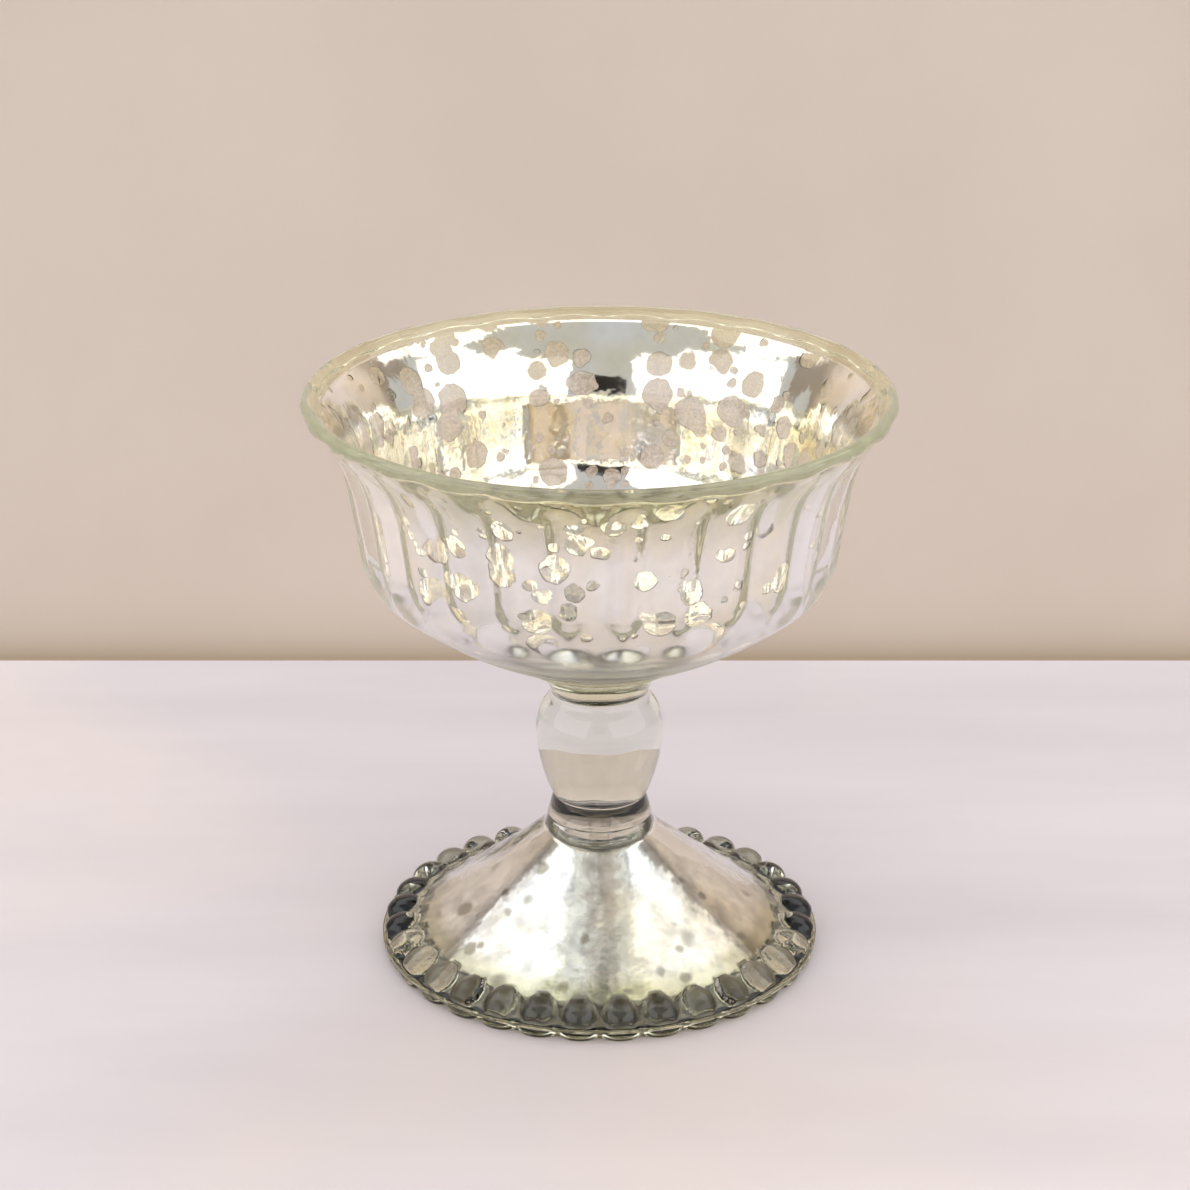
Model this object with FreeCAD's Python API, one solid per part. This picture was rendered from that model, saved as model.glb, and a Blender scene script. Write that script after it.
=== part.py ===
"""Footed tealight holder in pressed, silvered glass.

A fluted bowl with a flared, rolled rim stands on a wafer, a trumpet-shaped flare, a solid knop,
a collar and a hollow foot with a beaded edge.  The bowl and the foot are silvered on the inside
and the silver is sealed with lacquer.

Millimetres, +Z up.  The origin is on the table under the middle of the foot.
"""
import FreeCAD, Part
import math
import os

Vector = FreeCAD.Vector

# ---------------------------------------------------------------- heights of the stack
FOOT_HEIGHT = 24.3          # table to the seat of the collar
COLLAR_HEIGHT = 3.7
KNOP_HEIGHT = 19.2
FLARE_HEIGHT = 5.8
WAFER_THICKNESS = 1.6
BOWL_HEIGHT = 45.4          # wafer to the top of the lip

# ---------------------------------------------------------------- bowl
RIM_DIAMETER = 97.2         # over the rolled lip
LIP_THICKNESS = 2.5         # diameter of the roll
WAIST_DIAMETER = 82.8       # where the straight wall turns into the flare
FLARE_RISE = 16.0           # waist to the top of the lip
SHOULDER_DIAMETER = 79.0    # where the wall turns under
SHOULDER_RISE = 17.6        # wafer to the shoulder
KNUCKLE_DIAMETER = 73.2     # outer end of the underside
KNUCKLE_RISE = 12.4
BOWL_BASE_DIAMETER = 31.0   # flat that sits on the wafer
UNDERSIDE_PITCH = 21.5      # degrees, where the underside leaves that flat
BOWL_WALL = 2.8             # over the ridges
FLOOR_THICKNESS = 7.4
FLOOR_DIAMETER = 41.0       # flat floor; a tealight is 38 mm across
FLUTE_COUNT = 26
FLUTE_DEPTH = 1.3
FLUTE_TOP_DROP = 3.2        # the flutes run out this far below the top of the lip
FLUTE_RUN_OUT = 1.1         # the cutter swings this share of the way to that point
RIDGE_LAND = 0.7            # flat crest left between two flutes
FLUTE_RELIEF = 0.8          # how far the flute cutter stands out of the wall
FLUTE_OVERRUN = 8.0         # how far it runs on below the shoulder

# ---------------------------------------------------------------- stem
WAFER_DIAMETER = 29.0
FLARE_TOP_DIAMETER = 26.0
FLARE_NECK_DIAMETER = 15.4
FLARE_NECK_PITCH = 85.0     # degrees, where the trumpet leaves its neck
KNOP_DIAMETER = 21.6
KNOP_TOP_DIAMETER = 17.0
KNOP_BELLY_RISE = 12.3      # collar to the widest part
NECK_DIAMETER = 15.8        # under the knop
COLLAR_DIAMETER = 17.8

# ---------------------------------------------------------------- foot
FOOT_SEAT_DIAMETER = 17.4   # flat under the collar
FOOT_SHANK = 2.3            # short steep part below that flat
FOOT_SHANK_SPREAD = 0.9
CONE_PITCH = 43.2           # degrees, where the cone leaves the shank
CONE_BASE_DIAMETER = 63.6   # where the beads begin
CONE_BASE_RISE = 4.9
FOOT_DIAMETER = 75.3        # over the seam ledge
LEDGE_RISE = 2.0
LEDGE_THICKNESS = 0.5
LEDGE_WIDTH = 0.7
FOOT_WALL = 2.6
FOOT_RING_OUTER = 71.6      # flat ring that stands on the table
FOOT_RING_INNER = 67.2
HOLLOW_ROUND = 4.0          # round between the cone and the hollow's flat top
BEAD_COUNT = 32
BEAD_WIDTH = 5.7
BEAD_SET_IN = 0.15          # bead end inside the ledge
BEAD_LIFT = 0.2             # bead above the table
BEAD_TIP_SET_IN = 0.5       # bead tip up the cone

# ---------------------------------------------------------------- films
SILVER_FILM = 0.15
LACQUER_FILM = 0.15
FILM_RIM_MARGIN = 1.6       # bare glass below the top of the lip
FILM_TABLE_MARGIN = 1.0     # bare glass above the table

# ---------------------------------------------------------------- levels
COLLAR_Z = FOOT_HEIGHT
KNOP_Z = COLLAR_Z + COLLAR_HEIGHT
FLARE_Z = KNOP_Z + KNOP_HEIGHT
WAFER_Z = FLARE_Z + FLARE_HEIGHT
BOWL_Z = WAFER_Z + WAFER_THICKNESS
TOP_Z = BOWL_Z + BOWL_HEIGHT

AXIS = Vector(0, 0, 1)
ORIGIN = Vector(0, 0, 0)


# ---------------------------------------------------------------- outline tools
def point(r, z):
    """A point of the half section."""
    return Vector(r, 0, z)


def on_axis(corner):
    """The corner itself, or the axis where rounding has moved it off by a hair."""
    return point(0, corner.z) if abs(corner.x) < 1e-6 else corner


def along(degrees):
    """Unit heading in the half section, anticlockwise from outward."""
    angle = math.radians(degrees)
    return Vector(math.cos(angle), 0, math.sin(angle))


def left_of(heading):
    """Unit normal on the left of a heading, where the inside of a cavity lies."""
    return Vector(-heading.z, 0, heading.x)


def unit(vector):
    return Vector(vector).normalize()


def turned(heading, chord):
    """Heading at the end of an arc that leaves along heading and spans chord."""
    direction = unit(chord)
    return direction * (2 * heading.dot(direction)) - heading


def arc_middle(start, heading, end):
    """Middle point of the arc that leaves start along heading and reaches end."""
    chord = end - start
    direction = unit(chord)
    side = left_of(direction)
    turn = math.atan2(heading.dot(side), heading.dot(direction))
    return (start + end) * 0.5 + side * (chord.Length / 2 * math.tan(turn / 2))


class Outline:
    """A chain of lines and tangent arcs in the half section, which can be redrawn inset."""

    def __init__(self, start):
        self.points = [start]
        self.legs = []
        self.heading = None

    def line(self, end):
        heading = unit(end - self.points[-1])
        self.legs.append(("line", heading, heading))
        self.points.append(end)
        self.heading = heading
        return self

    def bend(self, end, heading=None):
        """An arc to end that leaves along heading, or along the last leg."""
        start_heading = heading or self.heading
        end_heading = turned(start_heading, end - self.points[-1])
        self.legs.append(("bend", start_heading, end_heading))
        self.points.append(end)
        self.heading = end_heading
        return self

    def inset_points(self, inset):
        """The chain's points moved to the left by inset, each along its mean normal."""
        moved = []
        for index, corner in enumerate(self.points):
            before = self.legs[index - 1][2] if index else self.legs[0][1]
            after = self.legs[index][1] if index < len(self.legs) else before
            normal = unit(left_of(before) + left_of(after))
            reach = inset / normal.dot(left_of(after))
            moved.append(on_axis(corner + normal * reach))
        return moved

    def edges(self, inset=0.0):
        corners = self.inset_points(inset)
        made = []
        for (kind, start_heading, _), start, end in zip(self.legs, corners, corners[1:]):
            if kind == "line":
                made.append(Part.LineSegment(start, end).toShape())
            else:
                middle = arc_middle(start, start_heading, end)
                made.append(Part.Arc(start, middle, end).toShape())
        return made

    def ends(self, inset=0.0):
        corners = self.inset_points(inset)
        return corners[0], corners[-1]


def joined(start, end):
    """A closing line, or nothing where the two points are one."""
    if start.isEqual(end, 1e-7):
        return []
    return [Part.LineSegment(start, end).toShape()]


def revolved(edges):
    """The solid that a closed half section sweeps round the Z axis."""
    wire = Part.Wire(Part.__sortEdges__(edges))
    return Part.Face(wire).revolve(ORIGIN, AXIS, 360)


def film(surface, start_inset, end_inset):
    """A film of even thickness on the left of an outline."""
    first_start, first_end = surface.ends(start_inset)
    last_start, last_end = surface.ends(end_inset)
    closing = joined(first_start, last_start) + joined(first_end, last_end)
    return revolved(surface.edges(start_inset) + surface.edges(end_inset) + closing)


def ringed(tool, count, offset=0.0):
    """Copies of a tool set evenly round the Z axis."""
    copies = []
    for index in range(count):
        copy = tool.copy()
        copy.rotate(ORIGIN, AXIS, offset + 360.0 * index / count)
        copies.append(copy)
    return copies


# ---------------------------------------------------------------- bowl
SHOULDER = point(SHOULDER_DIAMETER / 2, BOWL_Z + SHOULDER_RISE)
WAIST = point(WAIST_DIAMETER / 2, TOP_Z - FLARE_RISE)
WALL_HEADING = unit(WAIST - SHOULDER)
LIP_CENTRE = point((RIM_DIAMETER - LIP_THICKNESS) / 2, TOP_Z - LIP_THICKNESS / 2)
LIP_ROOT = along(-90) * (LIP_THICKNESS / 2)     # from the roll's centre to the wall outside
LIP_INNER_ROOT = along(180) * (LIP_THICKNESS / 2)
LIP_CREST = along(45) * (LIP_THICKNESS / 2)
FLOOR_Z = BOWL_Z + FLOOR_THICKNESS


def bowl_outside():
    """Underside, knuckle, wall and flare, up to the roll of the lip."""
    outline = Outline(point(0, BOWL_Z))
    outline.line(point(BOWL_BASE_DIAMETER / 2, BOWL_Z))
    knuckle = point(KNUCKLE_DIAMETER / 2, BOWL_Z + KNUCKLE_RISE)
    outline.bend(knuckle, along(UNDERSIDE_PITCH))
    outline.bend(SHOULDER)
    outline.line(WAIST)
    return outline.bend(LIP_CENTRE + LIP_ROOT)


def bowl_inside(top_z=None):
    """Flat floor, one large corner, wall and flare; top_z stops it below the lip."""
    inward = left_of(WALL_HEADING) * BOWL_WALL
    waist = WAIST + inward
    foot_of_wall = waist - WALL_HEADING * ((waist.z - FLOOR_Z) / WALL_HEADING.z)
    reach = foot_of_wall.x - FLOOR_DIAMETER / 2
    outline = Outline(point(0, FLOOR_Z))
    outline.line(point(FLOOR_DIAMETER / 2, FLOOR_Z))
    outline.bend(foot_of_wall + WALL_HEADING * reach)
    outline.line(waist)
    lip = LIP_CENTRE + LIP_INNER_ROOT
    if top_z is None:
        return outline.bend(lip)
    return outline.bend(shortened(waist, outline.heading, lip, top_z))


def shortened(start, heading, end, top_z):
    """The point at height top_z on the arc from start to end."""
    arc = Part.Arc(start, arc_middle(start, heading, end), end).toShape()
    level = Part.LineSegment(point(0, top_z), point(2 * end.x, top_z)).toShape()
    return arc.distToShape(level)[1][0][0]


def flute_cutter():
    """One shallow groove that runs up the wall and out along the flare."""
    ridge = math.pi * WAIST.x / FLUTE_COUNT - RIDGE_LAND / 2
    wall_drop = ridge ** 2 / (2 * WAIST.x)
    rise = FLUTE_DEPTH - wall_drop
    radius = (ridge ** 2 + rise ** 2) / (2 * rise)
    full = FLUTE_DEPTH + FLUTE_RELIEF
    half = math.sqrt(2 * radius * full - full ** 2)
    outward = left_of(WALL_HEADING) * -1
    across = Vector(0, half, 0)
    valley = WAIST - outward * FLUTE_DEPTH
    crest = WAIST + outward * FLUTE_RELIEF
    groove = Part.Arc(crest - across, valley, crest + across).toShape()
    lid = Part.LineSegment(crest + across, crest - across).toShape()
    section = Part.Face(Part.Wire([groove, lid]))
    length = (WAIST - SHOULDER).Length + FLUTE_OVERRUN
    wall_run = section.extrude(WALL_HEADING * -length)
    lip_end = LIP_CENTRE + LIP_ROOT
    top = shortened(WAIST, WALL_HEADING, lip_end, TOP_Z - FLUTE_TOP_DROP) - WAIST
    swing_out = top.dot(outward) + FLUTE_DEPTH
    reach = (top.dot(top) - FLUTE_DEPTH ** 2) / (2 * swing_out)
    centre = WAIST + outward * reach
    sweep = (valley - centre).getAngle(WAIST + top - centre) * FLUTE_RUN_OUT
    side = math.copysign(1, reach)
    flare_run = section.revolve(centre, Vector(0, side, 0), math.degrees(sweep))
    return wall_run.fuse(flare_run)


def make_bowl():
    outside = bowl_outside()
    inside = bowl_inside()
    core = joined(outside.ends()[0], inside.ends()[0])
    roll = Part.Arc(outside.ends()[1], LIP_CENTRE + LIP_CREST, inside.ends()[1]).toShape()
    bowl = revolved(outside.edges() + [roll] + inside.edges() + core)
    for cutter in ringed(flute_cutter(), FLUTE_COUNT):
        bowl = bowl.cut(cutter)
    return bowl


# ---------------------------------------------------------------- stem
def make_wafer():
    """A disc with a rounded edge."""
    radius = WAFER_DIAMETER / 2
    half = WAFER_THICKNESS / 2
    outline = Outline(point(0, WAFER_Z)).line(point(radius - half, WAFER_Z))
    outline.bend(point(radius, WAFER_Z + half)).bend(point(radius - half, BOWL_Z))
    outline.line(point(0, BOWL_Z))
    return revolved(outline.edges() + joined(*outline.ends()))


def make_flare():
    """A trumpet: narrow neck below, wide under the wafer."""
    outline = Outline(point(0, FLARE_Z)).line(point(FLARE_NECK_DIAMETER / 2, FLARE_Z))
    outline.bend(point(FLARE_TOP_DIAMETER / 2, WAFER_Z), along(FLARE_NECK_PITCH))
    outline.line(point(0, WAFER_Z))
    return revolved(outline.edges() + joined(*outline.ends()))


def make_knop():
    """An egg that stands on its narrow end; both arcs are upright at the belly."""
    belly = point(KNOP_DIAMETER / 2, KNOP_Z + KNOP_BELLY_RISE)
    neck = point(NECK_DIAMETER / 2, KNOP_Z)
    top = point(KNOP_TOP_DIAMETER / 2, FLARE_Z)
    neck_heading = turned(along(90), belly - neck)
    outline = Outline(point(0, KNOP_Z)).line(neck)
    outline.bend(belly, neck_heading).bend(top).line(point(0, FLARE_Z))
    return revolved(outline.edges() + joined(*outline.ends()))


def make_collar():
    """A ring of thick glass that widens towards the foot."""
    outline = Outline(point(0, COLLAR_Z)).line(point(COLLAR_DIAMETER / 2, COLLAR_Z))
    outline.line(point(NECK_DIAMETER / 2, KNOP_Z)).line(point(0, KNOP_Z))
    return revolved(outline.edges() + joined(*outline.ends()))


# ---------------------------------------------------------------- foot
CONE_TOP = point(FOOT_SEAT_DIAMETER / 2 + FOOT_SHANK_SPREAD, FOOT_HEIGHT - FOOT_SHANK)
CONE_BASE = point(CONE_BASE_DIAMETER / 2, CONE_BASE_RISE)
LEDGE = point(FOOT_DIAMETER / 2, LEDGE_RISE)


def cone_base_heading():
    return turned(along(-CONE_PITCH), CONE_BASE - CONE_TOP)


def foot_outside():
    """Seat, shank, cone, bead band and ledge, down to the ring on the table."""
    half_ledge = point(0, LEDGE_THICKNESS / 2)
    step = point(LEDGE_WIDTH, 0)
    outline = Outline(point(0, FOOT_HEIGHT)).line(point(FOOT_SEAT_DIAMETER / 2, FOOT_HEIGHT))
    outline.line(CONE_TOP).bend(CONE_BASE, along(-CONE_PITCH))
    outline.line(LEDGE - step + half_ledge).line(LEDGE + half_ledge)
    outline.line(LEDGE - half_ledge).line(LEDGE - step - half_ledge)
    return outline.line(point(FOOT_RING_OUTER / 2, 0))


def foot_inside(bottom_z=0.0):
    """Hollow of the foot from its bottom edge up the cone to its crown."""
    base_normal = left_of(cone_base_heading()) * -FOOT_WALL
    top_normal = left_of(along(-CONE_PITCH)) * -FOOT_WALL
    base = CONE_BASE + base_normal
    corner = CONE_TOP + top_normal
    edge = point(FOOT_RING_INNER / 2, 0)
    start = edge + (base - edge) * (bottom_z / base.z)
    outline = Outline(start).line(base).bend(corner, cone_base_heading() * -1)
    half_turn = CONE_PITCH / 2
    chord = 2 * HOLLOW_ROUND * math.sin(math.radians(half_turn))
    crown = corner + along(180 - half_turn) * chord
    return outline.bend(crown).line(point(0, crown.z))


def bead():
    """One teardrop: a ball at the ledge and a cone that runs to a point up the foot."""
    radius = BEAD_WIDTH / 2
    up_cone = cone_base_heading() * -BEAD_TIP_SET_IN
    tip = CONE_BASE + up_cone
    ball = point(LEDGE.x - BEAD_SET_IN - radius, radius + BEAD_LIFT)
    axis = unit(ball - tip)
    reach = (ball - tip).Length
    spread = math.asin(radius / reach)
    side = left_of(axis) * math.cos(spread)
    shoulder = ball + (side - axis * math.sin(spread)) * radius
    end = ball + axis * radius
    back = left_of(axis) * radius
    outline = Outline(tip).line(shoulder).bend(ball + back).bend(end)
    return Part.Face(Part.Wire(outline.edges() + joined(end, tip))).revolve(tip, axis, 360)


def make_foot():
    outside = foot_outside()
    inside = foot_inside()
    ring = joined(outside.ends()[1], inside.ends()[0])
    core = joined(inside.ends()[1], outside.ends()[0])
    foot = revolved(outside.edges() + ring + inside.edges() + core)
    return foot.multiFuse(ringed(bead(), BEAD_COUNT, 180.0 / BEAD_COUNT))


# ---------------------------------------------------------------- all pieces
def films(surface, name):
    sealed = SILVER_FILM + LACQUER_FILM
    return {
        name + "_silvering": film(surface, 0.0, SILVER_FILM),
        name + "_lacquer": film(surface, SILVER_FILM, sealed),
    }


def main():
    pieces = {
        "glass_bowl": make_bowl(),
        "joining_wafer": make_wafer(),
        "stem_flare": make_flare(),
        "stem_knop": make_knop(),
        "neck_collar": make_collar(),
        "glass_foot": make_foot(),
    }
    pieces.update(films(bowl_inside(TOP_Z - FILM_RIM_MARGIN), "bowl"))
    pieces.update(films(foot_inside(FILM_TABLE_MARGIN), "foot"))
    os.makedirs("parts", exist_ok=True)
    for name, shape in pieces.items():
        solid = shape.Solids[0] if len(shape.Solids) == 1 else shape
        solid.exportStep("parts/" + name + ".step")
        print(name, "volume", round(solid.Volume, 1), "valid", solid.isValid())


main()
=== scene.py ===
"""Looks of a footed tealight holder in pressed, mercury-silvered glass.

Every glass piece is turned from its half section in metres and carries the detail that the
press left: flutes, a scalloped lip and teardrop beads.  Pieces keep the places and sizes of
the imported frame, and ride on its one body.
"""
from __future__ import annotations

import logging
import math
from dataclasses import dataclass, field
from enum import Enum
from typing import Callable, Iterable, Sequence

import bpy
import numpy as np
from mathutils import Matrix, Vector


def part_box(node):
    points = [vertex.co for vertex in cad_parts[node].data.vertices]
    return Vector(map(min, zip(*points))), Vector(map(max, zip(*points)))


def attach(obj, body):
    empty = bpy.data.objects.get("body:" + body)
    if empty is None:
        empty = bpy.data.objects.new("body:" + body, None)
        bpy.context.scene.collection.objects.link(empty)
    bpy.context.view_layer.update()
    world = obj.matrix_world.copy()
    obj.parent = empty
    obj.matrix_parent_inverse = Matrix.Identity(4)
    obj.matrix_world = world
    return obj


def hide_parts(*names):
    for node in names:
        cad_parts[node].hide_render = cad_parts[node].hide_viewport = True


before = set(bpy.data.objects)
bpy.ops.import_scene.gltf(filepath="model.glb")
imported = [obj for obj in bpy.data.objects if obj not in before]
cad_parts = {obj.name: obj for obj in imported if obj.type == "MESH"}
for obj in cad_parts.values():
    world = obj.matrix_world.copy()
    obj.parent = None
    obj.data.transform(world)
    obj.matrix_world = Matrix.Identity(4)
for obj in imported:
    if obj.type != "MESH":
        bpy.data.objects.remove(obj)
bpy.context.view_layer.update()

Tree, Node, Socket = bpy.types.NodeTree, bpy.types.Node, bpy.types.NodeSocket
Material, Object, Array = bpy.types.Material, bpy.types.Object, np.ndarray

LOG = logging.getLogger("tealight_holder")
MM = 0.001
BODY = "root"
FUSED = "fused_joint"


# ------------------------------------------------------------------ colour and node helpers
def linear(hex_colour: str, alpha: float = 1.0) -> tuple[float, float, float, float]:
    """Turn an sRGB hex colour into linear RGBA.

    Args:
        hex_colour: Six hex digits, with or without a hash.
        alpha: Alpha to append.

    Returns:
        The linear colour.
    """
    digits = hex_colour.lstrip("#")
    channels = [int(digits[i:i + 2], 16) / 255 for i in (0, 2, 4)]
    curved = [c / 12.92 if c <= 0.04045 else ((c + 0.055) / 1.055) ** 2.4 for c in channels]
    return (*curved, alpha)


def per_mm(size_mm: float) -> float:
    """Texture scale that makes one feature of a pattern size_mm across, in metre space."""
    return 1.0 / (size_mm * MM)


def add(tree: Tree, kind: str, links: dict | None = None, **settings) -> Node:
    """Add a shader node with its settings and links.

    Args:
        tree: The node tree.
        kind: The node's class name, without the ShaderNode prefix.
        links: Input name or number to an output socket or a plain value.
        **settings: Attributes of the node.

    Returns:
        The new node.
    """
    node = tree.nodes.new("ShaderNode" + kind)
    for name, value in settings.items():
        setattr(node, name, value)
    for name, value in (links or {}).items():
        socket = node.inputs[name]
        if isinstance(value, Socket):
            tree.links.new(value, socket)
        else:
            socket.default_value = value
    return node


def ramp(tree: Tree, factor: Socket,
         stops: Sequence[tuple[float, tuple]]) -> Socket:
    """Add a colour ramp.

    Args:
        tree: The node tree.
        factor: What drives the ramp.
        stops: Position and colour of each stop, in order.

    Returns:
        The ramp's colour output.
    """
    node = add(tree, "ValToRGB", {"Fac": factor})
    elements = node.color_ramp.elements
    while len(elements) > len(stops):
        elements.remove(elements[-1])
    while len(elements) < len(stops):
        elements.new(0.5)
    for element, (position, colour) in zip(elements, stops):
        element.position = position
        element.color = colour
    return node.outputs["Color"]


def grey(level: float) -> tuple[float, float, float, float]:
    """A linear grey of that level."""
    return (level, level, level, 1.0)


def new_material(name: str) -> tuple[Material, Tree, Node]:
    """Make an empty node material.

    Args:
        name: The material's name.

    Returns:
        The material, its tree and its output node.
    """
    material = bpy.data.materials.new(name)
    material.use_nodes = True
    tree = material.node_tree
    tree.nodes.clear()
    return material, tree, add(tree, "OutputMaterial")


# ------------------------------------------------------------------ finishes
@dataclass(frozen=True)
class PressedGlass:
    """Soda-lime glass, pressed in an iron mould and fire-polished.

    Iron in the sand tints it green to olive where it is thick, which shows along the ridges,
    the lip and the collar.  The polish leaves a faint orange-peel ripple.
    """

    name: str
    tint: str = "#dfe3c4"
    absorption: float = 60.0
    ripple_mm: float = 3.0
    ripple_depth_mm: float = 0.02
    ior: float = 1.52
    roughness: float = 0.01
    skin: tuple[tuple[float, str], ...] = ((0.0, "#ffffff"),)
    frost_z: float | None = None
    frost_band_mm: tuple[float, float] = (2.5, 1.5)
    frost: float = 0.22

    def skin_colour(self, tree: Tree, place: Socket) -> Socket:
        """Tint the fire-polished skin by height, in mm up to 100.

        Args:
            tree: The node tree.
            place: Coordinates in metres.

        Returns:
            The skin's colour.
        """
        height = add(tree, "SeparateXYZ", {0: place}).outputs["Z"]
        share = add(tree, "MapRange", {"Value": height, "From Max": 100 * MM}).outputs[0]
        return ramp(tree, share, [(z / 100, linear(colour)) for z, colour in self.skin])

    def make(self) -> Material:
        """Build the material.

        Returns:
            The material.
        """
        material, tree, output = new_material(self.name)
        place = add(tree, "TexCoord").outputs["Object"]
        ripple = add(tree, "TexNoise", {"Vector": place, "Scale": per_mm(self.ripple_mm), "Detail": 2.0})
        bump = add(tree, "Bump", {"Height": ripple.outputs["Fac"], "Strength": 1.0,
                                  "Distance": self.ripple_depth_mm * MM})
        rough = self.roughness
        if self.frost_z is not None:
            below, above = self.frost_band_mm
            height = add(tree, "SeparateXYZ", {0: place}).outputs["Z"]
            rough = add(tree, "MapRange", {
                "Value": height, "From Min": self.frost_z - below * MM, "From Max": self.frost_z + above * MM,
                "To Min": self.frost, "To Max": self.roughness}).outputs[0]
        glass = add(tree, "BsdfPrincipled", {
            "Base Color": self.skin_colour(tree, place), "Roughness": rough, "IOR": self.ior,
            "Transmission Weight": 1.0, "Normal": bump.outputs["Normal"]})
        clear = add(tree, "BsdfTransparent", {"Color": grey(1.0)})
        fused = add(tree, "Attribute", attribute_name=FUSED, attribute_type="GEOMETRY")
        surface = add(tree, "MixShader", {0: fused.outputs["Fac"], 1: glass.outputs[0], 2: clear.outputs[0]})
        body = add(tree, "VolumeAbsorption", {"Color": linear(self.tint), "Density": self.absorption})
        tree.links.new(surface.outputs[0], output.inputs["Surface"])
        tree.links.new(body.outputs[0], output.inputs["Volume"])
        return material


@dataclass(frozen=True)
class MercurySilvering:
    """Chemically deposited silver, etched in spots while wet to look old.

    A mirror with a champagne cast in patches, round see-through spots where drops lifted the
    film, and pinholes round them.
    """

    name: str
    silver: str = "#f9f8f6"
    champagne: str = "#faf5e8"
    spot_cell_mm: float = 6.0
    spot_share: float = 1.0
    spot_blur: float = 0.03
    spot_clearness: float = 1.0
    speck_cell_mm: float = 3.0
    speck_share: float = 0.5
    ragged_z: float = 0.0986
    silver_below: bool = True
    ragged_mm: float = 4.0
    tarnish: float = 0.06
    unevenness_mm: float = 0.22
    residue: str = "#b3ad9e"
    roughness: float = 0.07
    frost: float = 0.16
    wander_mm: float = 2.0
    wander_reach_mm: float = 1.2
    grain_mm: float = 0.6
    least_cleared: float = 0.88
    rag_mm: float = 5.0
    patch_mm: float = 22.0
    mottle_mm: float = 3.5
    haze_mm: float = 7.0

    def spots(self, tree: Tree, place: Socket, cell_mm: float,
              smallest: float, largest: float, share: float) -> Socket:
        """Mask of round spots, one in a share of the cells.

        Args:
            tree: The node tree.
            place: Coordinates in metres.
            cell_mm: Mean distance between spots.
            smallest: Least radius, as a share of a cell.
            largest: Greatest radius, as a share of a cell.
            share: How many of the cells hold a spot.

        Returns:
            A value of 1 inside a spot and 0 outside.
        """
        cells = add(tree, "TexVoronoi", {"Vector": place, "Scale": per_mm(cell_mm), "Randomness": 0.9})
        lots = add(tree, "SeparateColor", {"Color": cells.outputs["Color"]})
        radius = add(tree, "MapRange", {"Value": lots.outputs[0], "To Min": smallest, "To Max": largest})
        held = add(tree, "Math", {0: lots.outputs[1], 1: share}, operation="LESS_THAN")
        reach = add(tree, "Math", {0: radius.outputs[0], 1: held.outputs[0]}, operation="MULTIPLY")
        inside = add(tree, "Math", {0: reach.outputs[0], 1: cells.outputs["Distance"]}, operation="SUBTRACT")
        return add(tree, "MapRange", {"Value": inside.outputs[0], "From Max": self.spot_blur}).outputs[0]

    def past_edge(self, tree: Tree, place: Socket) -> Socket:
        """Mask the film's ragged edge, where the silver ran out.

        Args:
            tree: The node tree.
            place: Coordinates in metres.

        Returns:
            A value of 1 on the silvered side and 0 past the edge.
        """
        height = add(tree, "SeparateXYZ", {0: place}).outputs["Z"]
        rag = add(tree, "TexNoise", {
            "Vector": place, "Scale": per_mm(self.rag_mm), "Detail": 3.0}).outputs["Fac"]
        shift = add(tree, "MapRange", {"Value": rag, "To Min": -self.ragged_mm * MM,
                                        "To Max": self.ragged_mm * MM}).outputs[0]
        reach = add(tree, "Math", {0: height, 1: shift}, operation="ADD").outputs[0]
        edge = add(tree, "MapRange", {
            "Value": reach, "From Min": self.ragged_z - 0.25 * MM, "From Max": self.ragged_z + 0.25 * MM,
            "To Min": 1.0 if self.silver_below else 0.0, "To Max": 0.0 if self.silver_below else 1.0})
        return edge.outputs[0]

    def opened(self, tree: Tree, place: Socket,
               uneven: Socket) -> tuple[Socket, Socket]:
        """Lay out the spots, and how far each is cleared of silver.

        Args:
            tree: The node tree.
            place: Coordinates in metres.
            uneven: The same, disturbed, so that no spot is quite round.

        Returns:
            A mask of the spots, and the share of silver that is kept.
        """
        large = self.spots(tree, uneven, self.spot_cell_mm, 0.22, 0.52, self.spot_share)
        small = self.spots(tree, uneven, self.speck_cell_mm, 0.20, 0.40, self.speck_share)
        spotted = add(tree, "Math", {0: large, 1: small}, operation="MAXIMUM").outputs[0]
        grains = add(tree, "TexNoise", {
            "Vector": place, "Scale": per_mm(self.grain_mm), "Detail": 2.0}).outputs["Fac"]
        cleared = add(tree, "MapRange", {"Value": grains, "From Min": 0.44, "From Max": 0.56,
                                         "To Min": self.least_cleared}).outputs[0]
        emptied = add(tree, "Math", {0: cleared, 1: self.spot_clearness}, operation="MULTIPLY").outputs[0]
        open_spots = add(tree, "Math", {0: spotted, 1: emptied}, operation="MULTIPLY").outputs[0]
        unspotted = add(tree, "Math", {0: 1.0, 1: open_spots}, operation="SUBTRACT").outputs[0]
        kept = add(tree, "Math", {0: unspotted, 1: self.past_edge(tree, place)}, operation="MULTIPLY")
        return spotted, kept.outputs[0]

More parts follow.
